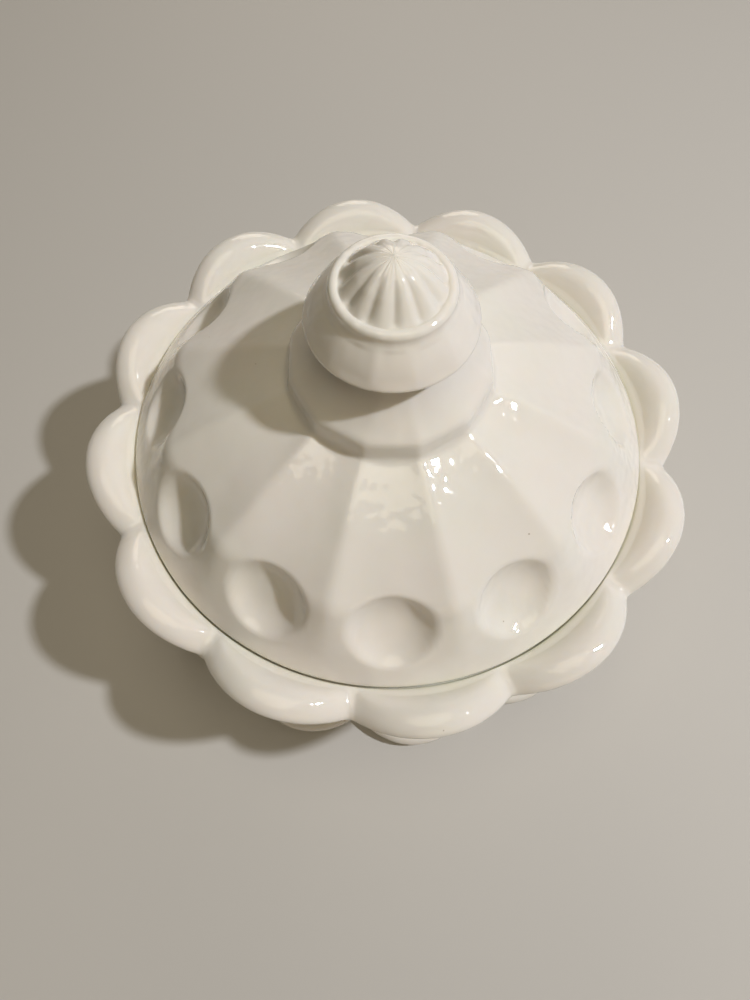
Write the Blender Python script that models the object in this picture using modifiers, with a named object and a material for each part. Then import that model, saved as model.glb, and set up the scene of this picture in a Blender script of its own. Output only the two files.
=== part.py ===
"""Covered milk glass dish: a scalloped bowl on a scalloped foot, and a panelled lid that lifts off.

Metres, +Z up. The origin is the centre of the face that the foot rests on. The front is -Y, where
a notch of the scalloped rim lies. Every turn below is measured from the front, towards +X.
"""
import math

import bmesh
import bpy
from mathutils import Matrix

MM = 0.001

# Driving dimensions, in millimetres
LID_RADIUS = 70.0
LID_PLANE = 58.0          # height of the lid's round edge above the table
PETALS = 12               # petals around the rim and around the foot
PANELS = 12               # flat panels around the lid
RIBS = 12                 # ribs around the finial's cone
LID_TURN = 7.5            # degrees: the lid's panels are turned this far from the bowl's notches
LID_EDGE = 2.0            # thickness of the lid's edge
SEAT_GAP = 0.3            # between the lid's underside and the ledge that it rests on

# Bowl: a place is a radius and a height. A rim or foot place is given at a notch and at a crown.
LEDGE = LID_PLANE - LID_EDGE - SEAT_GAP
RECESS_RADIUS = LID_RADIUS + 0.5
RECESS_TOP = LEDGE + 1.7
RIM_NOTCH = (77.5, LID_PLANE - 4.0)
RIM_CROWN = (82.7, LID_PLANE + 2.7)
RIM_LIP = (4.6, 2.3)      # half width and half height of the rim's rounded lip
SCOOP_REACH = (0.2, 0.78)  # shares of a petal's inner slope that stay level at its foot and its top
BODY_TOP = (68.0, 47.0)
BODY_PULL = (62.5, 20.0)  # control point of the body's curve down to the waist
WAIST = (36.0, 17.0)
WAIST_FLUTE = 1.2         # depth of the soft flutes between the petals, at the waist
FOOT_PULL = (50.0, 8.5)
FOOT_NOTCH = (72.5, 4.0)
FOOT_CROWN = (81.1, 4.0)
FOOT_LIP = 3.0
CAVITY_RADIUS = 62.5
CAVITY_SHOULDER = LEDGE - 3.0  # the cavity's wall is upright above this height
CAVITY_PULL = (59.5, 23.0)
CAVITY_FLOOR = (30.0, 19.0)
HOLLOW_RADIUS = 66.0
HOLLOW_TOP = 11.0

# Lid: heights are above the lid's round edge. A panelled place is given at a corner.
SHOULDER = (57.6, 18.1)
PANEL_HOLLOW = 1.5        # depth of a panel's hollow at the shoulder
PANEL_BULGE = 1.4         # how far a panel stands out from straight, half way down
COLLAR_FOOT = (25.0, 32.1)
COLLAR_TOP = (24.0, 36.9)
BELL_FOOT = (23.4, 37.4)
BELL_PULL = (17.5, 41.7)
BELL_FLATNESS = 0.7       # 0 for a round lower end of the bell and 1 for a panelled one
NECK = (12.5, 50.2)
SKIRT_INSIDE = (12.5, 52.0)
SKIRT_EDGE = (19.0, 51.8)
SKIRT_TOP = (13.7, 59.3)
SKIRT_BULGE = 0.5         # how far the skirt's panels stand out from a straight cone
SKIRT_FLATNESS = 0.5      # 0 for a round skirt and 1 for a panelled one
SKIRT_SHARES = (0.3, 0.65)  # shares of the skirt's slope where it has a row of points
SKIRT_LIP = 0.5
BEAD = (11.9, 60.9)       # centre of the rounded bead on top of the skirt
BEAD_RADIUS = 1.3
CONE_FOOT = (11.0, 62.1)
CONE_KNEE = (7.5, 66.2)   # the cone is straight below its knee and rounded above it
CONE_PULL = (4.2, 69.0)
CONE_TOP = 69.6
CONE_SHARES = (0.3, 0.65, 1.0)
RIB_DEPTH = 1.2
RIB_FULL = 6.6            # radius at which the valleys reach their full depth
SLOPE_END = 0.4           # height at which the lid's lower slope meets its rounded edge
PANEL_SHARES = (0.25, 0.5, 0.75, 1.0)  # shares of a panel's length where it has a row of points
SLOPE_SHARES = (0.35, 0.7)  # shares of the lid's lower slope where it has a row of points
SLOPE_POWER = 0.7         # how soon the lower slope turns from panelled to round
EDGE_ROUND = 0.3
LID_HOLLOW = ((62.5, -LID_EDGE), (52.0, 12.5), (20.0, 26.5))
LID_HOLLOW_TOP = 28.5

OVERSHOOT = 5.0           # how far a cutter runs past the face that it cuts through

# Thumbprint: an ellipsoid pressed into each panel, across its shoulder
THUMB_CENTRE = (60.2, 12.7)
THUMB_TILT = 45.8         # degrees between the print's axis and the vertical
THUMB_SIZE = (11.0, 10.8, 4.6)

# Mesh fineness
BOWL_STEPS = 6            # columns in each petal
LID_STEPS = 6             # columns in each panel
BELL_STEPS = 5
CURVE_STEPS = 6
TURNED_STEPS = 60

GLASS_COLOUR = (0.80, 0.77, 0.69, 1.0)
GLASS_ROUGHNESS = 0.12


def clear_scene():
    for item in list(bpy.data.objects):
        bpy.data.objects.remove(item, do_unlink=True)


def new_collection(name):
    collection = bpy.data.collections.new(name)
    bpy.context.scene.collection.children.link(collection)
    return collection


def glass(name):
    material = bpy.data.materials.new(name)
    material.use_nodes = True
    shader = material.node_tree.nodes["Principled BSDF"]
    shader.inputs["Base Color"].default_value = GLASS_COLOUR
    shader.inputs["Roughness"].default_value = GLASS_ROUGHNESS
    shader.inputs["Metallic"].default_value = 0.0
    return material


def add_object(name, mesh, collection):
    item = bpy.data.objects.new(name, mesh)
    collection.objects.link(item)
    return item


def mix(a, b, share):
    """The place between two places, or the number between two numbers."""
    if isinstance(a, tuple):
        return tuple(mix(p, q, share) for p, q in zip(a, b))
    return a + (b - a) * share


def bend(start, pull, end, steps=CURVE_STEPS):
    """Points of a quadratic curve from start to end, both included."""
    shares = [i / steps for i in range(steps + 1)]
    return [mix(mix(start, pull, t), mix(pull, end, t), t) for t in shares]


def sweep(start, first_pull, last_pull, end, steps=CURVE_STEPS):
    """Points of a cubic curve from start to end, both included."""
    points = []
    for i in range(steps + 1):
        t = i / steps
        early = mix(mix(start, first_pull, t), mix(first_pull, last_pull, t), t)
        late = mix(mix(first_pull, last_pull, t), mix(last_pull, end, t), t)
        points.append(mix(early, late, t))
    return points


def on_arc(centre, width, height, angle):
    """A point of an ellipse at an angle in degrees, where 90 is straight up."""
    turn = math.radians(angle)
    return (centre[0] + width * math.cos(turn), centre[1] + height * math.sin(turn))


def arc(centre, width, height, start, end, steps=CURVE_STEPS):
    """Points of an elliptical arc between two angles, both included."""
    return [on_arc(centre, width, height, mix(start, end, i / steps)) for i in range(steps + 1)]


def swell(angle):
    """How far a petal's edge stands out at a turn in degrees: 0 at a notch and 1 at a crown.

    In plan each petal is an arc of a circle, through two notches and its crown.
    """
    half = math.pi / PETALS
    across = math.radians(angle) % (2.0 * half) - half
    chord = RIM_NOTCH[0] * math.sin(half)
    rise = RIM_CROWN[0] - RIM_NOTCH[0] * math.cos(half)
    radius = (chord ** 2 + rise ** 2) / (2.0 * rise)
    centre = RIM_CROWN[0] - radius
    reach = centre * math.cos(across) + math.sqrt(radius ** 2 - (centre * math.sin(across)) ** 2)
    return (reach - RIM_NOTCH[0]) / (RIM_CROWN[0] - RIM_NOTCH[0])


def flat_panel(angle):
    """Radius of a panelled ring at a turn in degrees from a panel's middle; its corners are at 1."""
    half = math.pi / PANELS
    across = (math.radians(angle) + half) % (2.0 * half) - half
    return math.cos(half) / math.cos(across)


def from_middle(angle, count):
    """How far a turn is from the middle of its panel: 0 in the middle and 1 at a corner."""
    half = 180.0 / count
    return abs((angle + half) % (2.0 * half) - half) / half


def rib_valley(angle):
    """1 in a valley of the finial and 0 on a rib. A valley lies above each panel's middle."""
    return (1.0 - from_middle(angle, RIBS)) ** 2


def bowl_section(angle):
    """The bowl's outside at one turn, from the ledge's middle down to the foot's middle."""
    out = swell(angle)
    rim = mix(RIM_NOTCH, RIM_CROWN, out)
    lip = (rim[0] - RIM_LIP[0], rim[1])
    foot = mix(FOOT_NOTCH, FOOT_CROWN, out)
    foot_lip = (foot[0] - FOOT_LIP, foot[1])
    flute = WAIST_FLUTE * (1.0 - out)
    waist = (WAIST[0] - flute, WAIST[1])
    body_top = (BODY_TOP[0] - flute, BODY_TOP[1])
    slope_top = (lip[0], lip[1] + RIM_LIP[1])
    width = slope_top[0] - RECESS_RADIUS
    inner = (RECESS_RADIUS, RECESS_TOP)
    inner_pull = (inner[0] + SCOOP_REACH[0] * width, inner[1])
    outer_pull = (slope_top[0] - SCOOP_REACH[1] * width, slope_top[1])
    points = [(RECESS_RADIUS, LEDGE)]
    points += sweep(inner, inner_pull, outer_pull, slope_top)[:-1]
    points += arc(lip, RIM_LIP[0], RIM_LIP[1], 90.0, -90.0, 7)
    points += bend(body_top, (BODY_PULL[0] - flute, BODY_PULL[1]), waist)
    points += bend(waist, (FOOT_PULL[0] - flute, FOOT_PULL[1]), (foot_lip[0], foot[1] + FOOT_LIP))[1:-1]
    points += arc(foot_lip, FOOT_LIP, FOOT_LIP, 90.0, 0.0, 3)
    points += arc(foot_lip, FOOT_LIP, FOOT_CROWN[1], 0.0, -90.0, 3)[1:]
    return points


def lid_section(angle):
    """The lid's outside at one turn from a panel's middle, from the finial down to the edge."""
    panel = flat_panel(angle)
    soft_panel = mix(1.0, panel, SKIRT_FLATNESS)
    valley = rib_valley(angle)
    hollow = PANEL_HOLLOW * (1.0 - from_middle(angle, PANELS) ** 2)
    points = []
    cone = bend((0.0, CONE_TOP), CONE_PULL, CONE_KNEE, 4)[1:]
    cone += [mix(CONE_KNEE, CONE_FOOT, share) for share in CONE_SHARES]
    for radius, height in cone:
        depth = RIB_DEPTH * valley * min(1.0, radius / RIB_FULL)
        points.append((radius, height - depth))
    points += arc(BEAD, BEAD_RADIUS, BEAD_RADIUS, 90.0, 0.0, 3)
    points.append(SKIRT_TOP)
    for share in SKIRT_SHARES:
        place = mix(SKIRT_TOP, SKIRT_EDGE, share)
        points.append((place[0] * soft_panel + SKIRT_BULGE, place[1]))
    points += [SKIRT_EDGE, (SKIRT_EDGE[0] - SKIRT_LIP, SKIRT_EDGE[1] - SKIRT_LIP), SKIRT_INSIDE]
    bell = bend(NECK, BELL_PULL, BELL_FOOT, BELL_STEPS)
    for step, place in enumerate(bell):
        flatness = BELL_FLATNESS * (step / BELL_STEPS) ** 2
        points.append((place[0] * mix(1.0, panel, flatness), place[1]))
    points.append((COLLAR_TOP[0] * mix(1.0, panel, BELL_FLATNESS), COLLAR_TOP[1]))
    points.append((COLLAR_FOOT[0] * panel, COLLAR_FOOT[1]))
    for share in PANEL_SHARES:
        place = mix(COLLAR_FOOT, SHOULDER, share)
        bulge = PANEL_BULGE * 4.0 * share * (1.0 - share)
        points.append((place[0] * panel, place[1] + bulge - hollow * math.sqrt(share)))
    for share in SLOPE_SHARES:
        place = mix(SHOULDER, (LID_RADIUS, SLOPE_END), share)
        radius = place[0] * mix(panel, 1.0, share ** SLOPE_POWER)
        points.append((radius, place[1] - hollow * (1.0 - share)))
    points += [(LID_RADIUS - EDGE_ROUND, SLOPE_END), (LID_RADIUS, 0.0), (LID_RADIUS, -LID_EDGE)]
    return [(radius, LID_PLANE + height) for radius, height in points]


def loft(name, section, turn, columns, first_column, top, bottom, collection):
    """A closed solid through one section for each turn, with a point on the axis at each end."""
    mesh = bpy.data.meshes.new(name)
    work = bmesh.new()
    around = []
    for i in range(columns):
        angle = first_column + 360.0 * i / columns
        place = math.radians(angle + turn)
        column = []
        for radius, height in section(angle):
            corner = (radius * math.sin(place) * MM, -radius * math.cos(place) * MM, height * MM)
            column.append(work.verts.new(corner))
        around.append(column)
    top_point = work.verts.new((0.0, 0.0, top * MM))
    bottom_point = work.verts.new((0.0, 0.0, bottom * MM))
    for left, right in zip(around, around[1:] + around[:1]):
        work.faces.new((top_point, left[0], right[0]))
        for i in range(len(left) - 1):
            work.faces.new((left[i], left[i + 1], right[i + 1], right[i]))
        work.faces.new((bottom_point, right[-1], left[-1]))
    work.to_mesh(mesh)
    work.free()
    mesh.shade_smooth()
    mesh.set_sharp_from_angle(angle=math.radians(40.0))
    return add_object(name, mesh, collection)


def turned(name, profile, collection):
    """A turned cutter: a profile that runs from top to bottom on its outer side, both ends on the axis."""
    mesh = bpy.data.meshes.new(name)
    corners = [(radius * MM, 0.0, height * MM) for radius, height in profile]
    mesh.from_pydata(corners, [(i, i + 1) for i in range(len(corners) - 1)], [])
    item = add_object(name, mesh, collection)
    screw = item.modifiers.new("turn", "SCREW")
    screw.steps = TURNED_STEPS
    screw.render_steps = TURNED_STEPS
    screw.use_merge_vertices = True
    screw.merge_threshold = 0.00001
    make_cutter(item)
    return item


def make_cutter(item):
    item.hide_render = True
    item.display_type = "WIRE"


def cut(item, cutter):
    boolean = item.modifiers.new(cutter.name, "BOOLEAN")
    boolean.operation = "DIFFERENCE"
    boolean.solver = "EXACT"
    boolean.object = cutter


def thumbprints(collection):
    """One flattened ball over each panel's shoulder, all in one cutter."""
    mesh = bpy.data.meshes.new("thumbprint_cutter")
    work = bmesh.new()
    radius, height = THUMB_CENTRE
    place = Matrix.Translation((0.0, -radius * MM, (LID_PLANE + height) * MM))
    tilt = Matrix.Rotation(math.radians(THUMB_TILT), 4, "X")
    size = Matrix.Diagonal([side * MM for side in THUMB_SIZE] + [1.0])
    for i in range(PANELS):
        around = Matrix.Rotation(math.radians(LID_TURN + 360.0 * i / PANELS), 4, "Z")
        bmesh.ops.create_uvsphere(work, u_segments=16, v_segments=12, radius=1.0,
                                  matrix=around @ place @ tilt @ size)
    work.to_mesh(mesh)
    work.free()
    item = add_object("thumbprint_cutter", mesh, collection)
    make_cutter(item)
    return item


def make_bowl(parts, cutters):
    bowl = loft("bowl", bowl_section, 0.0, PETALS * BOWL_STEPS, 0.0, LEDGE, 0.0, parts)
    wall = bend((CAVITY_RADIUS, CAVITY_SHOULDER), CAVITY_PULL, CAVITY_FLOOR)
    above = LEDGE + OVERSHOOT
    cavity = [(0.0, above), (CAVITY_RADIUS, above)] + wall + [(0.0, CAVITY_FLOOR[1])]
    cut(bowl, turned("cavity_cutter", cavity, cutters))
    dome = arc((0.0, 0.0), HOLLOW_RADIUS, HOLLOW_TOP, 90.0, 0.0)
    hollow = dome + [(HOLLOW_RADIUS, -OVERSHOOT), (0.0, -OVERSHOOT)]
    cut(bowl, turned("foot_hollow_cutter", hollow, cutters))
    bowl.data.materials.append(glass("bowl_glass"))


def make_lid(parts, cutters):
    apex = LID_PLANE + CONE_TOP
    bottom = LID_PLANE - LID_EDGE
    first_corner = 180.0 / PANELS
    lid = loft("lid", lid_section, LID_TURN, PANELS * LID_STEPS, first_corner, apex, bottom, parts)
    low, shoulder, high = [(radius, LID_PLANE + height) for radius, height in LID_HOLLOW]
    below = (low[0], low[1] - OVERSHOOT)
    hollow = [(0.0, LID_PLANE + LID_HOLLOW_TOP), high, shoulder, low, below, (0.0, below[1])]
    cut(lid, turned("lid_hollow_cutter", hollow, cutters))
    cut(lid, thumbprints(cutters))
    lid.data.materials.append(glass("lid_glass"))


def main():
    clear_scene()
    parts = new_collection("covered_dish")
    cutters = new_collection("cutters")
    make_bowl(parts, cutters)
    make_lid(parts, cutters)


main()
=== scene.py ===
"""The looks of the covered milk glass dish: a scalloped bowl on a scalloped foot, and its lid.

Both pieces are closed lofts around the dish's axis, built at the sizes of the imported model. A place
in a section is a pair (radius, height), and each of the two is an array with one value per column,
so that one section function gives the whole piece. Sizes are in millimetres until the mesh is made,
and the stage is in metres.
"""
import math

import bpy
import numpy as np
from mathutils import Matrix, Vector


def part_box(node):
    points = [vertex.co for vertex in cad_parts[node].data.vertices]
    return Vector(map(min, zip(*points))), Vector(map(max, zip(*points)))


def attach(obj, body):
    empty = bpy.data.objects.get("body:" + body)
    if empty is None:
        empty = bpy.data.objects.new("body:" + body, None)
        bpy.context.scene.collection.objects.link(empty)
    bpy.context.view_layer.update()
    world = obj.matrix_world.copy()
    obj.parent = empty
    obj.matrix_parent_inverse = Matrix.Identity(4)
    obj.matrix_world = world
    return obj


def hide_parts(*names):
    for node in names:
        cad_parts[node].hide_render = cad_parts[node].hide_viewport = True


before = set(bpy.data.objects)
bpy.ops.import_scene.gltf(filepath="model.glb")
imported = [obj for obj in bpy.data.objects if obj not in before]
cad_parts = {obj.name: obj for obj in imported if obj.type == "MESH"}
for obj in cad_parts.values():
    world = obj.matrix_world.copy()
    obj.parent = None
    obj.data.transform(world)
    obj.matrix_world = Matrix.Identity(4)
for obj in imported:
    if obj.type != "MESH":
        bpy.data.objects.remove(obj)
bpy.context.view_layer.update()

MM = 0.001

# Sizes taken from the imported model
LID_LOW, LID_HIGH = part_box("lid")
LID_EDGE = 2.0                                  # thickness of the lid's edge
LID_RADIUS = (LID_HIGH.x - LID_LOW.x) / 2.0 / MM
LID_PLANE = LID_LOW.z / MM + LID_EDGE           # height of the lid's round edge

# Counts and turns. A turn is in degrees from the front, -Y, towards +X.
PETALS = 12
PANELS = 12
RIBS = 12
LID_TURN = 7.5

# A corner's softness, or ROUND, is the distance over which it is rounded to each side of it.

# Bowl. Heights are above the table.
LEDGE = LID_PLANE - LID_EDGE - 0.3
LEDGE_ROUND = 0.9
RECESS_RADIUS = LID_RADIUS + 0.3
RECESS_ROUND = 0.4
RECESS_TOP = LEDGE + 1.5
RECESS_TOP_ROUND = 0.7
RIM_NOTCH = (77.5, LID_PLANE - 4.0)
RIM_CROWN = (82.55, LID_PLANE + 2.7)
RIM_LIP = (4.2, 2.4)      # half width and half height of the rim's rounded lip
SCOOP_REACH = (0.3, 0.6)  # share of a petal's inner slope that pulls it level, at its foot and its top
BODY_TOP = (68.0, 47.0)
BODY_TOP_ROUND = 3.0
BODY_PULL = (62.5, 20.0)
WAIST = (36.0, 17.0)
FLUTE = 1.2               # how far the body is drawn in below the notches between petals
FOOT_PULL = (50.0, 8.5)
FOOT_NOTCH = (72.5, 4.0)
FOOT_CROWN = (81.1, 4.0)
FOOT_LIP = 3.0
CAVITY_RADIUS = 62.5
CAVITY_SHOULDER = LEDGE - 3.0
CAVITY_PULL = (59.5, 23.0)
CAVITY_FLOOR = (30.0, 19.0)
HOLLOW_RADIUS = 66.0
HOLLOW_TOP = 11.0
HOLLOW_ROUND = 0.8
HOLLOW_ANGLES = (3.0, 89.0)  # degrees on the ellipse at the hollow's edge and next to the axis
NOTCH_SOFTNESS = 0.9      # degrees over which two petals melt into each other

# Lid. Heights are above the lid's round edge.
EDGE_TOP = (LID_RADIUS, 0.2)
EDGE_TOP_ROUND = 0.35
EDGE_FOOT_ROUND = 0.7
EDGE_PULL = (LID_RADIUS, 0.4)  # where the panels head for from the shoulder
EDGE_SHARE = 0.45         # share of that way after which they turn from flat to round
EDGE_FLATNESS = 0.55      # how panelled the lid still is there
EDGE_ROUND = 2.0
SHOULDER = (57.6, 18.1)
SHOULDER_ROUND = 2.2
PANEL_BULGE = 1.5         # how far the ridges and panels stand out from straight, half way down
PANEL_ROUND = 12.0
PANEL_HOLLOW = (          # depth of a panel's hollow at some radii
    (24.2, 0.0),
    (25.2, 0.8),
    (57.6, 1.5),
    (69.0, 0.0),
)
RIDGE_SOFTNESS = 0.12     # share of a panel's half over which its hollow is rounded off at a ridge
RIDGE_SHARPNESS = 110.0   # the higher, the crisper the ridges between panels
COLLAR_FOOT = (25.0, 32.1)
COLLAR_FOOT_ROUND = 0.9
COLLAR_TOP = (24.1, 37.0)
COLLAR_TOP_ROUND = 1.2
BELL_FOOT = (22.8, 38.1)
BELL_PULL = (17.5, 41.7)
BELL_FLATNESS = 0.7       # 0 for a round lower end of the bell and 1 for a panelled one
NECK = (12.5, 50.2)
SKIRT_INSIDE = (12.5, 52.0)
SKIRT_INSIDE_ROUND = 0.5
SKIRT_LIP = (18.7, 51.35)
SKIRT_LIP_ROUND = 0.2
SKIRT_EDGE = (19.0, 51.8)
SKIRT_TOP = (14.1, 59.0)
SKIRT_BULGE = 0.5
SKIRT_FLATNESS = 0.5
BEAD = (11.9, 60.9)
BEAD_RADIUS = 1.3
BEAD_START = 125.0        # degrees on the bead's circle where the cone runs onto it
BEAD_END = 5.0            # degrees on the bead's circle where it runs down to the skirt
CREASE_SINK = 0.45        # how far the surface below the bead bends in
CONE_FOOT = (11.0, 62.1)
CONE_KNEE = (7.5, 66.2)
CONE_PULL = (4.2, 69.0)
CONE_TOP = 69.6
RIB_DEPTH = 1.5
RIB_CLEAR = 3.2           # radius inside which the cone is smooth
RIB_FULL = 8.5            # radius at which the valleys reach their full depth
RIB_SOFTNESS = 0.18       # how rounded a valley's bottom is
RIB_END = (9.8, 11.6)     # radii between which the valleys run out onto the bead
LID_HOLLOW = (            # corners of the lid's inside, each with its softness
    ((62.5, -LID_EDGE), 0.8),
    ((52.0, 12.5), 3.0),
    ((20.0, 26.5), 4.0),
)
LID_HOLLOW_TOP = 28.5

# Thumbprints
THUMB_CENTRE = (59.9, 12.2)
THUMB_TILT = 45.8
THUMB_SIZE = (10.8, 11.0)
THUMB_DEPTH = 4.3
THUMB_POWER = 2.8         # the higher, the flatter the print's bottom
THUMB_SOFTNESS = 0.5      # rounding of the print's edge
THUMB_REACH = 1.6         # how far from its centre a print is worked out, in half sizes
THUMB_BACK = 2.0          # points further behind the print's plane are the lid's inside, and stay

# Surface waves: (height, crests around the axis, crests in 100 mm of radius, phase in degrees)
WAVES = (
    (0.05, 17.0, 5.2, 40.0),
    (0.04, 29.0, 3.1, 110.0),
    (0.03, 11.0, 9.4, 250.0),
)
WAVE_FREE = 6.0           # height above the table or the lid's edge below which there are no waves

# Mesh fineness: columns around the axis, steps along a curve, and millimetres between rows
BOWL_COLUMNS = 336
LID_COLUMNS = 312
CORNER_STEPS = 5
BODY_STEPS = 48
BODY_START = 4            # steps of the body's curve that its rounded top corner takes up
LIP_STEPS = 24
SCOOP_STEPS = 24
SCOOP_START = 8           # steps of a petal's inner slope that the recess's corner takes up
FOOT_STEPS = 36
FOOT_LIP_STEPS = 8
HOLLOW_STEPS = 40
CONE_STEPS = 16
CONE_RINGS = 30
BEAD_STEPS = 14
CREASE_STEPS = 6
SKIRT_STEPS = 18
BELL_STEPS = 26
AXIS_GAP = 1.0            # radius of the ring next to the axis
CONE_GAP = 0.4            # radius of the ring next to the finial's apex
FLOOR_ROWS = 2.0
LEDGE_ROWS = 0.8
BODY_ROWS = 1.2
BASE_ROWS = 1.5
NECK_ROWS = 0.7
LID_ROWS = 0.62

# Milk glass: colours
GLASS_WARM = (0.835, 0.79, 0.725, 1.0)
GLASS_COOL = (0.82, 0.792, 0.715, 1.0)
GLASS_PALE = (0.855, 0.83, 0.775, 1.0)
# Painted shade: a greenish grey that darkens the glass in its corners and creases
PAINTED_CREASE_SHADE = (0.88, 0.90, 0.78, 1.0)
SPECK_COLOUR = (0.46, 0.39, 0.30, 1.0)

# Milk glass: patterns. A GRAIN is (grains in a metre, octaves, weight of each next octave), and a
# RANGE holds the two values of a pattern between which its effect fades in or out.
CLOUD_GRAIN = (38.0, 3.0, 0.5)
CLOUD_RANGE = (0.38, 0.62)
STREAK_GRAIN = (95.0, 4.0, 0.6)
STREAK_RANGE = (0.45, 0.7)
STREAK_SHARE = 0.35       # how much of the pale colour a streak takes on
CREASE_REACH = 6.0        # how far from a corner its painted shade is seen
CREASE_RAYS = 8
CREASE_RANGE = (0.25, 0.8)
CREASE_SHARE = 0.6        # how much of the painted shade a corner takes on
SPECK_CELLS = 260.0       # places in a metre where a speck may be
SPECK_RANGE = (0.03, 0.07)
RARE_GRAIN = (120.0, 1.0, 0.5)
RARE_RANGE = (0.66, 0.68)
WEAR_GRAIN = (150.0, 5.0, 0.65)
WEAR_RANGE = (0.35, 0.7)
GLASS_ROUGHNESS = (0.03, 0.08)  # of the smoothest and the most worn spots
UNDULATION_GRAIN = (90.0, 1.0, 0.5)
UNDULATION_HEIGHT = 0.3
RIPPLE_GRAIN = (400.0, 0.0, 0.5)
RIPPLE_HEIGHT = 0.17
SCRATCH_TURN = (0.3, 0.5, 0.9)
SCRATCH_STRETCH = (1.0, 12.0, 1.0)
SCRATCH_GRAIN = (110.0, 2.0, 0.5)
SCRATCH_RANGE = (0.76, 0.78)
SCRATCH_HEIGHT = 0.004
GLASS_INPUTS = (
    ("Specular IOR Level", 0.0),
    ("Roughness", 0.5),
    ("Coat Weight", 1.0),
    ("Coat IOR", 1.5),
    ("Subsurface Weight", 0.6),
    ("Subsurface Radius", (1.0, 0.9, 0.75)),
    ("Subsurface Scale", 1.5 * MM),
)

# Stage, in metres
FLOOR_SIZE = 6.0
FLOOR_COLOUR = (0.56, 0.54, 0.50, 1.0)
FLOOR_ROUGHNESS = 0.7
FLOOR_CLEAR = 0.5         # distance within which the floor shows only its own colour
FLOOR_FADE = 1.3          # distance from which the floor is as bright as the backdrop
BACKDROP_COLOUR = (1.0, 0.95, 0.87, 1.0)
BACKDROP_SEEN = 0.45      # the backdrop's brightness as the camera sees it
BACKDROP_LIGHT = 0.015    # the backdrop's brightness as light on the dish
LIGHT_TARGET = (0.0, 0.0, 0.07)
LIGHTS = (                # name, turn and climb in degrees, size, power in watts and colour
    ("key", 91.0, 53.0, 0.055, 6.5, (0.98, 0.99, 1.05)),
    ("top", 0.0, 84.0, 0.8, 3.0, (1.0, 0.89, 0.67)),
    ("back", 190.0, 20.0, 0.5, 1.6, (1.0, 0.87, 0.72)),
    ("front", 20.0, 15.0, 0.8, 1.0, (1.0, 0.77, 0.5)),
)
CAMERA_PLACE = (0.00754, -0.09157, 0.23053)
CAMERA_TARGET = (-0.00086, -0.02127, 0.058)
CAMERA_ROLL = 0.32        # degrees
CAMERA_LENS = 24.95       # millimetres, as is the sensor
CAMERA_SENSOR = 36.0
CAMERA_CLIP = 0.005


# Curves. A place is (radius, height), as numbers or arrays.

def mix(a, b, share):
    """The place between two places, or the value between two values."""
    if isinstance(a, tuple):
        return tuple(mix(p, q, share) for p, q in zip(a, b))
    return a + (b - a) * share


def bend(start, pull, end, steps):
    """A quadratic curve from start to end, both included."""
    shares = np.linspace(0.0, 1.0, steps + 1)
    return [mix(mix(start, pull, t), mix(pull, end, t), t) for t in shares]


def sweep(start, first_pull, last_pull, end, steps):
    """A cubic curve from start to end, both included."""
    path = []
    for t in np.linspace(0.0, 1.0, steps + 1):
        early = mix(mix(start, first_pull, t), mix(first_pull, last_pull, t), t)
        late = mix(mix(first_pull, last_pull, t), mix(last_pull, end, t), t)
        path.append(mix(early, late, t))
    return path


def arc(centre, width, height, start, end, steps):
    """An elliptical arc between two angles in degrees, where 90 is straight up."""
    turns = np.radians(np.linspace(start, end, steps + 1))
    return [(centre[0] + width * np.cos(t), centre[1] + height * np.sin(t)) for t in turns]


def ease(share):
    """A share held between 0 and 1, with a soft start and end."""
    share = min(max(share, 0.0), 1.0)
    return share * share * (3.0 - 2.0 * share)


def gap(a, b):
    """The mean distance between two places."""
    return float(np.mean(np.hypot(a[0] - b[0], a[1] - b[1])))


def rounded(corners, step):
    """A path along straight lines through corners, each given as (place, softness).

    The path includes its first and last corners, which stay sharp.
    """
    path = [corners[0][0]]
    for i in range(1, len(corners)):
        here, softness = corners[i]
        soft = softness > 0.0 and i < len(corners) - 1
        before = path[-1]
        arrive = mix(here, before, softness / gap(before, here)) if soft else here
        count = max(1, round(gap(before, arrive) / step))
        path += [mix(before, arrive, k / count) for k in range(1, count + 1)]
        if soft:
            after = corners[i + 1][0]
            leave = mix(here, after, softness / gap(here, after))
            path += bend(arrive, here, leave, CORNER_STEPS)[1:]
    return path


# How the pieces vary around the axis

def swell(angle):
    """How far a petal stands out at a turn: 0 at a notch, 1 at a crown. In plan it is an arc."""
    half = math.pi / PETALS
    across = np.abs(np.radians(angle) % (2.0 * half) - half)
    soft = math.radians(NOTCH_SOFTNESS)
    near = np.maximum(0.0, across - (half - soft))
    across = across - near ** 2 / (2.0 * soft)
    chord = RIM_NOTCH[0] * math.sin(half)
    rise = RIM_CROWN[0] - RIM_NOTCH[0] * math.cos(half)
    radius = (chord ** 2 + rise ** 2) / (2.0 * rise)
    centre = RIM_CROWN[0] - radius
    reach = centre * np.cos(across) + np.sqrt(radius ** 2 - (centre * np.sin(across)) ** 2)
    return (reach - RIM_NOTCH[0]) / (RIM_CROWN[0] - RIM_NOTCH[0])


def panelled(angle):
    """Radius of a ring of flat panels with softened corners, where a sharp corner would be at 1."""
    half = math.pi / PANELS
    total = 0.0
    for k in (-1, 0, 1):
        across = (np.radians(angle) + half) % (2.0 * half) - half + 2.0 * half * k
        total = total + (math.cos(half) / np.cos(across)) ** -RIDGE_SHARPNESS
    return total ** (-1.0 / RIDGE_SHARPNESS)


def middle_distance(angle, count):
    """How far a turn is from the middle of its sector, of count sectors: 0 there and 1 at the edge."""
    half = 180.0 / count
    return np.abs((angle + half) % (2.0 * half) - half) / half


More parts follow.
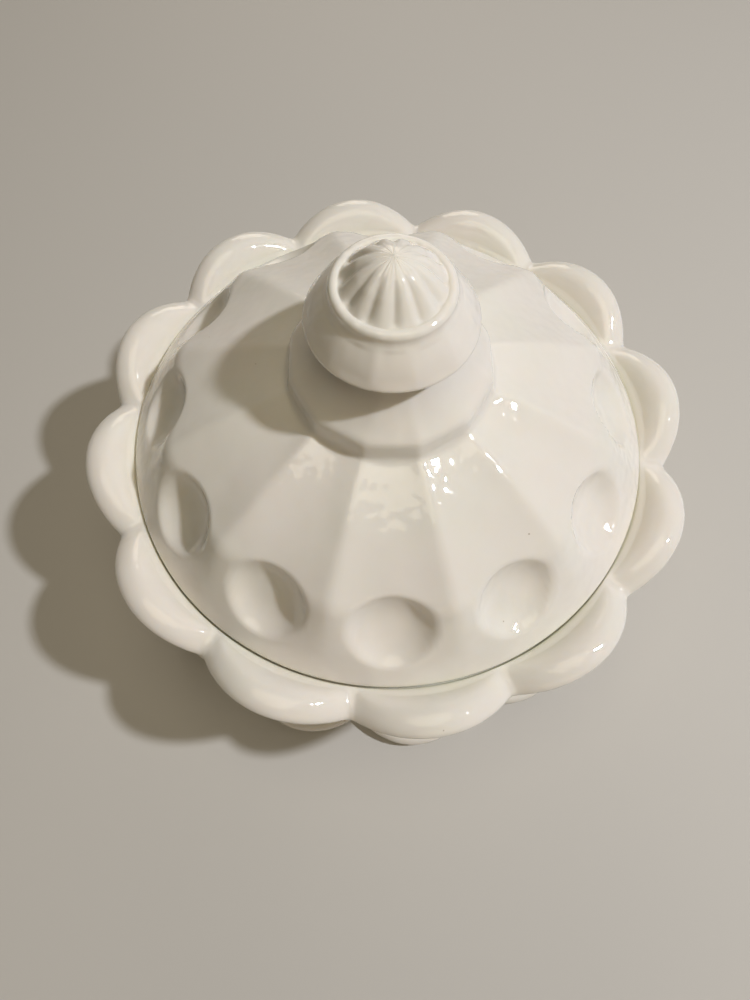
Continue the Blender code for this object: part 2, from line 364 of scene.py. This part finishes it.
def panel_hollow(angle):
    """1 in the middle of a panel and 0 at a ridge, where it is softened."""
    across = middle_distance(angle, PANELS)
    near = np.maximum(0.0, across - (1.0 - RIDGE_SOFTNESS))
    return 1.0 - (across - near ** 2 / (2.0 * RIDGE_SOFTNESS)) ** 2


def rib_valley(angle):
    """1 in a valley of the finial and 0 on a rib. A valley lies above each panel's middle."""
    across = middle_distance(angle, RIBS)
    return (1.0 - np.sqrt(across ** 2 + RIB_SOFTNESS ** 2)) ** 2


# Sections

def bowl_section(angle):
    """The bowl, from the middle of its floor over the rim and down to the middle of its underside."""
    out = swell(angle)
    still = np.ones_like(angle)
    flute = FLUTE * (1.0 - out)

    def ring(place, inward=0.0):
        return (place[0] * still - inward, place[1] * still)

    # The cavity
    floor_corner = ring(CAVITY_FLOOR)
    path = rounded([(ring((AXIS_GAP, CAVITY_FLOOR[1])), 0.0), (floor_corner, 0.0)], FLOOR_ROWS)
    path += bend(floor_corner, ring(CAVITY_PULL), ring((CAVITY_RADIUS, CAVITY_SHOULDER)), BODY_STEPS)[1:]

    # The ledge for the lid, the petals and their lip
    rim = mix(RIM_NOTCH, RIM_CROWN, out)
    lip = arc((rim[0] - RIM_LIP[0], rim[1]), RIM_LIP[0], RIM_LIP[1], 90.0, -90.0, LIP_STEPS)
    inner = ring((RECESS_RADIUS, RECESS_TOP))
    top = lip[0]
    width = top[0] - inner[0]
    first_pull = (inner[0] + SCOOP_REACH[0] * width, inner[1])
    last_pull = (top[0] - SCOOP_REACH[1] * width, top[1])
    slope = sweep(inner, first_pull, last_pull, top, SCOOP_STEPS)
    path += rounded([
        (path[-1], 0.0),
        (ring((CAVITY_RADIUS, LEDGE)), LEDGE_ROUND),
        (ring((RECESS_RADIUS, LEDGE)), RECESS_ROUND),
        (slope[0], RECESS_TOP_ROUND),
        (slope[SCOOP_START], 0.0),
    ], LEDGE_ROWS)[1:]
    path += slope[SCOOP_START + 1:]
    path += lip[1:]

    # The body, the waist and the foot
    body_top = ring(BODY_TOP, flute)
    waist = ring(WAIST, flute)
    body = bend(body_top, ring(BODY_PULL, flute), waist, BODY_STEPS)
    path += rounded([
        (path[-1], 0.0),
        (body_top, BODY_TOP_ROUND),
        (body[BODY_START], 0.0),
    ], BODY_ROWS)[1:]
    path += body[BODY_START + 1:]
    foot = mix(FOOT_NOTCH, FOOT_CROWN, out)
    foot_lip = (foot[0] - FOOT_LIP, foot[1])
    path += bend(waist, ring(FOOT_PULL, flute), (foot_lip[0], foot_lip[1] + FOOT_LIP), FOOT_STEPS)[1:]
    path += arc(foot_lip, FOOT_LIP, FOOT_LIP, 90.0, 0.0, FOOT_LIP_STEPS)[1:]
    path += arc(foot_lip, FOOT_LIP, FOOT_CROWN[1], 0.0, -90.0, FOOT_LIP_STEPS)[1:]

    # The resting ring and the hollow under the foot
    hollow = arc((0.0, 0.0), HOLLOW_RADIUS, HOLLOW_TOP, *HOLLOW_ANGLES, HOLLOW_STEPS)
    path += rounded([
        (path[-1], 0.0),
        (ring((HOLLOW_RADIUS, 0.0)), HOLLOW_ROUND),
        (ring(hollow[0]), 0.0),
    ], BASE_ROWS)[1:]
    path += [ring(place) for place in hollow[1:]]
    return path


def lid_section(angle):
    """The lid, from the finial's apex down to the edge and back up its hollow."""
    panel = panelled(angle)
    valley = rib_valley(angle)
    still = np.ones_like(angle)

    def ring(place, flatness=0.0):
        return (place[0] * mix(still, panel, flatness), place[1] * still)

    # The ribbed cone of the finial
    path = []
    cone = bend((0.0, CONE_TOP), CONE_PULL, CONE_KNEE, CONE_STEPS) + [CONE_FOOT]
    cone_radius, cone_height = zip(*cone)
    for radius in np.linspace(CONE_GAP, CONE_FOOT[0], CONE_RINGS):
        height = np.interp(radius, cone_radius, cone_height)
        depth = RIB_DEPTH * valley * ease((radius - RIB_CLEAR) / (RIB_FULL - RIB_CLEAR))
        depth = depth * (1.0 - ease((radius - RIB_END[0]) / (RIB_END[1] - RIB_END[0])))
        path.append((radius * still, height - depth))

    # The bead, the skirt and the neck below it
    bead = arc(BEAD, BEAD_RADIUS, BEAD_RADIUS, BEAD_START, BEAD_END, BEAD_STEPS)
    path += [ring(place) for place in bead]
    crease = mix(bead[-1], SKIRT_TOP, 0.5)
    crease = (crease[0] - CREASE_SINK, crease[1])
    path += [ring(place) for place in bend(bead[-1], crease, SKIRT_TOP, CREASE_STEPS)[1:]]
    for k in range(1, SKIRT_STEPS + 1):
        share = k / SKIRT_STEPS
        radius, height = mix(SKIRT_TOP, SKIRT_EDGE, share)
        bulge = SKIRT_BULGE * 4.0 * share * (1.0 - share)
        flatness = min(SKIRT_FLATNESS, 2.0 * (1.0 - share))
        path.append((radius * mix(still, panel, flatness) + bulge, height * still))
    path += rounded([
        (path[-1], 0.0),
        (ring(SKIRT_LIP), SKIRT_LIP_ROUND),
        (ring(SKIRT_INSIDE), SKIRT_INSIDE_ROUND),
        (ring(NECK), 0.0),
    ], NECK_ROWS)[1:]
    bell = bend(NECK, BELL_PULL, BELL_FOOT, BELL_STEPS)[1:]
    for k, place in enumerate(bell):
        path.append(ring(place, BELL_FLATNESS * (k / (len(bell) - 1)) ** 2))

    # The collar, the panels and the edge
    middle = mix(COLLAR_FOOT, SHOULDER, 0.5)
    path += rounded([
        (path[-1], 0.0),
        (ring(COLLAR_TOP, BELL_FLATNESS), COLLAR_TOP_ROUND),
        (ring(COLLAR_FOOT, 1.0), COLLAR_FOOT_ROUND),
        (ring((middle[0], middle[1] + PANEL_BULGE), 1.0), PANEL_ROUND),
        (ring(SHOULDER, 1.0), SHOULDER_ROUND),
        (ring(mix(SHOULDER, EDGE_PULL, EDGE_SHARE), EDGE_FLATNESS), EDGE_ROUND),
        (ring(EDGE_TOP), EDGE_TOP_ROUND),
    ], LID_ROWS)[1:]
    hollow = panel_hollow(angle)
    hollow_radius, hollow_depth = zip(*PANEL_HOLLOW)
    path = [(radius, height - hollow * np.interp(radius, hollow_radius, hollow_depth))
            for radius, height in path]

    # The inside
    path += rounded(
        [(path[-1], 0.0), (ring((LID_RADIUS, -LID_EDGE)), EDGE_FOOT_ROUND)]
        + [(ring(place), softness) for place, softness in LID_HOLLOW]
        + [(ring((AXIS_GAP, LID_HOLLOW_TOP)), 0.0)], LID_ROWS)[1:]
    return [(radius, LID_PLANE + height) for radius, height in path]


# Meshes

def loft(path, angle, turn):
    """The rings of points along a path, and the two points on the axis that close its ends."""
    place = np.radians(angle + turn)
    still = np.ones_like(place)
    rings = np.array([
        np.stack([radius * np.sin(place), -radius * np.cos(place), height * still], axis=1)
        for radius, height in path
    ])
    ends = np.array([[0.0, 0.0, rings[0, :, 2].mean()], [0.0, 0.0, rings[-1, :, 2].mean()]])
    return rings, ends


def press_thumbprints(rings):
    """Presses one hollow into each panel of the lid, across its shoulder."""
    tilt = math.radians(THUMB_TILT)
    outward = np.array([math.sin(tilt), math.cos(tilt)])
    along = np.array([math.cos(tilt), -math.sin(tilt)])
    centre = np.array([THUMB_CENTRE[0], LID_PLANE + THUMB_CENTRE[1]])
    turn = np.arctan2(rings[..., 0], -rings[..., 1]) - math.radians(LID_TURN)
    half = math.pi / PANELS
    across = (turn + half) % (2.0 * half) - half
    radius = np.hypot(rings[..., 0], rings[..., 1])
    side = radius * np.sin(across)
    forward = radius * np.cos(across)
    down = (forward - centre[0]) * along[0] + (rings[..., 2] - centre[1]) * along[1]
    proud = (forward - centre[0]) * outward[0] + (rings[..., 2] - centre[1]) * outward[1]
    reach = np.sqrt((side / THUMB_SIZE[0]) ** 2 + (down / THUMB_SIZE[1]) ** 2)
    hollow = THUMB_DEPTH * (reach ** THUMB_POWER - 1.0)
    share = np.clip(0.5 + 0.5 * (proud - hollow) / THUMB_SOFTNESS, 0.0, 1.0)
    pressed = proud + (hollow - proud) * share - THUMB_SOFTNESS * share * (1.0 - share)
    shift = np.where((proud > -THUMB_BACK) & (reach < THUMB_REACH), pressed - proud, 0.0)
    middle = turn - across + math.radians(LID_TURN)
    rings[..., 0] += shift * outward[0] * np.sin(middle)
    rings[..., 1] -= shift * outward[0] * np.cos(middle)
    rings[..., 2] += shift * outward[1]


def make_waves(rings, bottom):
    """Sinks the surface a little in soft waves, as pressed glass does. It never rises or widens."""
    turn = np.arctan2(rings[..., 0], rings[..., 1])
    radius = np.hypot(rings[..., 0], rings[..., 1]) / 100.0
    fade = np.clip((rings[..., 2] - bottom) / WAVE_FREE - 1.0, 0.0, 1.0)
    for height, around, outward, phase in WAVES:
        wave = np.sin(around * turn + 2.0 * math.pi * outward * radius + math.radians(phase))
        rings[..., 2] -= 0.5 * height * (1.0 + wave) * fade


def bowl_rings():
    angle = np.arange(BOWL_COLUMNS) * 360.0 / BOWL_COLUMNS
    rings, ends = loft(bowl_section(angle), angle, 0.0)
    make_waves(rings, 0.0)
    return rings, ends


def lid_rings():
    angle = np.arange(LID_COLUMNS) * 360.0 / LID_COLUMNS
    rings, ends = loft(lid_section(angle), angle, LID_TURN)
    press_thumbprints(rings)
    make_waves(rings, LID_PLANE)
    return rings, ends


def make_object(name, rings, ends):
    """A closed mesh over the rings, with a fan of triangles to the axis at both ends."""
    row_count, column_count = rings.shape[:2]
    points = np.concatenate([rings.reshape(-1, 3), ends]) * MM
    first, last = row_count * column_count, row_count * column_count + 1
    bottom = (row_count - 1) * column_count
    faces = []
    for j in range(column_count):
        k = (j + 1) % column_count
        faces.append((first, j, k))
        faces.append((last, bottom + k, bottom + j))
    for low in range(0, bottom, column_count):
        high = low + column_count
        for j in range(column_count):
            k = (j + 1) % column_count
            faces.append((low + j, high + j, high + k, low + k))
    mesh = bpy.data.meshes.new(name)
    mesh.from_pydata(points.tolist(), [], faces)
    mesh.shade_smooth()
    mesh.update()
    item = bpy.data.objects.new(name, mesh)
    bpy.context.scene.collection.objects.link(item)
    return item


def make_piece(node, rings, ends):
    """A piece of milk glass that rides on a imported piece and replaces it."""
    piece = make_object(node + "_glass", rings, ends)
    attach(piece, node)
    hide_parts(node)
    piece.data.materials.append(milk_glass(node + "_milk_glass"))


# Materials

def noise(tree, place, grain):
    """A noise between 0 and 1 over the piece, of a grain as described above."""
    node = tree.nodes.new("ShaderNodeTexNoise")
    for name, value in zip(("Scale", "Detail", "Roughness"), grain):
        node.inputs[name].default_value = value
    tree.links.new(place, node.inputs["Vector"])
    return node.outputs["Fac"]


def spread(tree, value, low, high, to_low=0.0, to_high=1.0):
    """A value's range from low to high stretched to another range, and held inside it."""
    node = tree.nodes.new("ShaderNodeMapRange")
    node.inputs["From Min"].default_value = low
    node.inputs["From Max"].default_value = high
    node.inputs["To Min"].default_value = to_low
    node.inputs["To Max"].default_value = to_high
    tree.links.new(value, node.inputs["Value"])
    return node.outputs["Result"]


def product(tree, first, second):
    """Two values multiplied."""
    node = tree.nodes.new("ShaderNodeMath")
    node.operation = "MULTIPLY"
    tree.links.new(first, node.inputs[0])
    tree.links.new(second, node.inputs[1])
    return node.outputs["Value"]


def blend(tree, share, first, second, way="MIX"):
    """Two colours mixed by a share. The first is a socket or a colour, and the second is a colour."""
    node = tree.nodes.new("ShaderNodeMix")
    node.data_type = "RGBA"
    node.blend_type = way
    tree.links.new(share, node.inputs["Factor"])
    if isinstance(first, tuple):
        node.inputs["A"].default_value = first
    else:
        tree.links.new(first, node.inputs["A"])
    node.inputs["B"].default_value = second
    return node.outputs["Result"]


def bumps(tree, value, height, under=None):
    """A normal for a surface that a value between 0 and 1 raises by a height in millimetres."""
    node = tree.nodes.new("ShaderNodeBump")
    node.inputs["Distance"].default_value = height * MM
    tree.links.new(value, node.inputs["Height"])
    if under is not None:
        tree.links.new(under, node.inputs["Normal"])
    return node.outputs["Normal"]


def glass_colour(tree, place):
    """Warm and cool clouds with pale streaks, painted shade in the corners and a few dark specks."""
    clouds = spread(tree, noise(tree, place, CLOUD_GRAIN), *CLOUD_RANGE)
    colour = blend(tree, clouds, GLASS_WARM, GLASS_COOL)
    streaks = spread(tree, noise(tree, place, STREAK_GRAIN), *STREAK_RANGE, 0.0, STREAK_SHARE)
    colour = blend(tree, streaks, colour, GLASS_PALE)

    # Painted shade: corners and creases that ambient occlusion finds are darkened towards a greenish
    # grey
    shelter = tree.nodes.new("ShaderNodeAmbientOcclusion")
    shelter.samples = CREASE_RAYS
    shelter.inputs["Distance"].default_value = CREASE_REACH * MM
    crease = spread(tree, shelter.outputs["AO"], *CREASE_RANGE, CREASE_SHARE, 0.0)
    colour = blend(tree, crease, colour, PAINTED_CREASE_SHADE, "MULTIPLY")

    cells = tree.nodes.new("ShaderNodeTexVoronoi")
    cells.inputs["Scale"].default_value = SPECK_CELLS
    tree.links.new(place, cells.inputs["Vector"])
    near = spread(tree, cells.outputs["Distance"], *SPECK_RANGE, 1.0, 0.0)
    rare = spread(tree, noise(tree, place, RARE_GRAIN), *RARE_RANGE)
    return blend(tree, product(tree, near, rare), colour, SPECK_COLOUR)


def scratches(tree, place):
    """1 on a scratch and 0 beside it. Scratches all run one way, on a slant."""
    stretch = tree.nodes.new("ShaderNodeMapping")
    stretch.inputs["Rotation"].default_value = SCRATCH_TURN
    stretch.inputs["Scale"].default_value = SCRATCH_STRETCH
    tree.links.new(place, stretch.inputs["Vector"])
    return spread(tree, noise(tree, stretch.outputs["Vector"], SCRATCH_GRAIN), *SCRATCH_RANGE)


def milk_glass(name):
    """Opaque white pressed glass under a clear gloss, which alone has the fine ripple and scratches."""
    material = bpy.data.materials.new(name)
    material.use_nodes = True
    tree = material.node_tree
    shader = tree.nodes["Principled BSDF"]
    for socket, value in GLASS_INPUTS:
        shader.inputs[socket].default_value = value
    place = tree.nodes.new("ShaderNodeTexCoord").outputs["Object"]
    wear = spread(tree, noise(tree, place, WEAR_GRAIN), *WEAR_RANGE, *GLASS_ROUGHNESS)
    undulation = bumps(tree, noise(tree, place, UNDULATION_GRAIN), UNDULATION_HEIGHT)
    ripple = bumps(tree, noise(tree, place, RIPPLE_GRAIN), RIPPLE_HEIGHT, undulation)
    gloss = bumps(tree, scratches(tree, place), SCRATCH_HEIGHT, ripple)
    tree.links.new(glass_colour(tree, place), shader.inputs["Base Color"])
    tree.links.new(wear, shader.inputs["Coat Roughness"])
    tree.links.new(undulation, shader.inputs["Normal"])
    tree.links.new(gloss, shader.inputs["Coat Normal"])
    return material


# Stage

def floor_paint():
    """Pale paint that fades into the backdrop far from the dish, where little light falls."""
    material = bpy.data.materials.new("floor_paint")
    material.use_nodes = True
    tree = material.node_tree
    shader = tree.nodes["Principled BSDF"]
    shader.inputs["Base Color"].default_value = FLOOR_COLOUR
    shader.inputs["Roughness"].default_value = FLOOR_ROUGHNESS
    shader.inputs["Emission Color"].default_value = BACKDROP_COLOUR
    distance = tree.nodes.new("ShaderNodeVectorMath")
    distance.operation = "LENGTH"
    tree.links.new(tree.nodes.new("ShaderNodeTexCoord").outputs["Object"], distance.inputs[0])
    far = spread(tree, distance.outputs["Value"], FLOOR_CLEAR, FLOOR_FADE, 0.0, BACKDROP_SEEN)
    seen = tree.nodes.new("ShaderNodeLightPath").outputs["Is Camera Ray"]
    tree.links.new(product(tree, seen, far), shader.inputs["Emission Strength"])
    return material


def make_floor():
    bpy.ops.mesh.primitive_plane_add(size=FLOOR_SIZE)
    floor = bpy.context.object
    floor.name = "floor"
    floor.data.materials.append(floor_paint())


def make_backdrop():
    """A pale backdrop that the camera sees, and that lights the dish much less than it shows."""
    world = bpy.data.worlds.new("studio")
    world.use_nodes = True
    tree = world.node_tree
    background = tree.nodes["Background"]
    background.inputs["Color"].default_value = BACKDROP_COLOUR
    seen = tree.nodes.new("ShaderNodeLightPath").outputs["Is Camera Ray"]
    strength = spread(tree, seen, 0.0, 1.0, BACKDROP_LIGHT, BACKDROP_SEEN)
    tree.links.new(strength, background.inputs["Strength"])
    bpy.context.scene.world = world


def make_light(name, turn, climb, size, power, colour):
    """A round soft light one metre from its target, at a turn from the front and a climb."""
    turn, climb = math.radians(turn), math.radians(climb)
    aim = Vector((-math.sin(turn) * math.cos(climb), math.cos(turn) * math.cos(climb), -math.sin(climb)))
    place = Vector(LIGHT_TARGET) - aim
    light = bpy.data.lights.new(name, "AREA")
    light.shape = "DISK"
    light.size = size
    light.energy = power
    light.color = colour
    item = bpy.data.objects.new(name, light)
    bpy.context.scene.collection.objects.link(item)
    item.matrix_world = Matrix.Translation(place) @ aim.to_track_quat("-Z", "Y").to_matrix().to_4x4()


def make_camera():
    data = bpy.data.cameras.new("camera")
    data.sensor_fit = "VERTICAL"
    data.sensor_height = CAMERA_SENSOR
    data.lens = CAMERA_LENS
    data.clip_start = CAMERA_CLIP
    camera = bpy.data.objects.new("camera", data)
    bpy.context.scene.collection.objects.link(camera)
    place = Vector(CAMERA_PLACE)
    aim = (Vector(CAMERA_TARGET) - place).to_track_quat("-Z", "Y").to_matrix().to_4x4()
    roll = Matrix.Rotation(math.radians(CAMERA_ROLL), 4, "Z")
    camera.matrix_world = Matrix.Translation(place) @ aim @ roll
    bpy.context.scene.camera = camera


make_piece("bowl", *bowl_rings())
make_piece("lid", *lid_rings())
make_floor()
make_backdrop()
for light in LIGHTS:
    make_light(*light)
make_camera()
bpy.context.scene.view_settings.view_transform = "Standard"
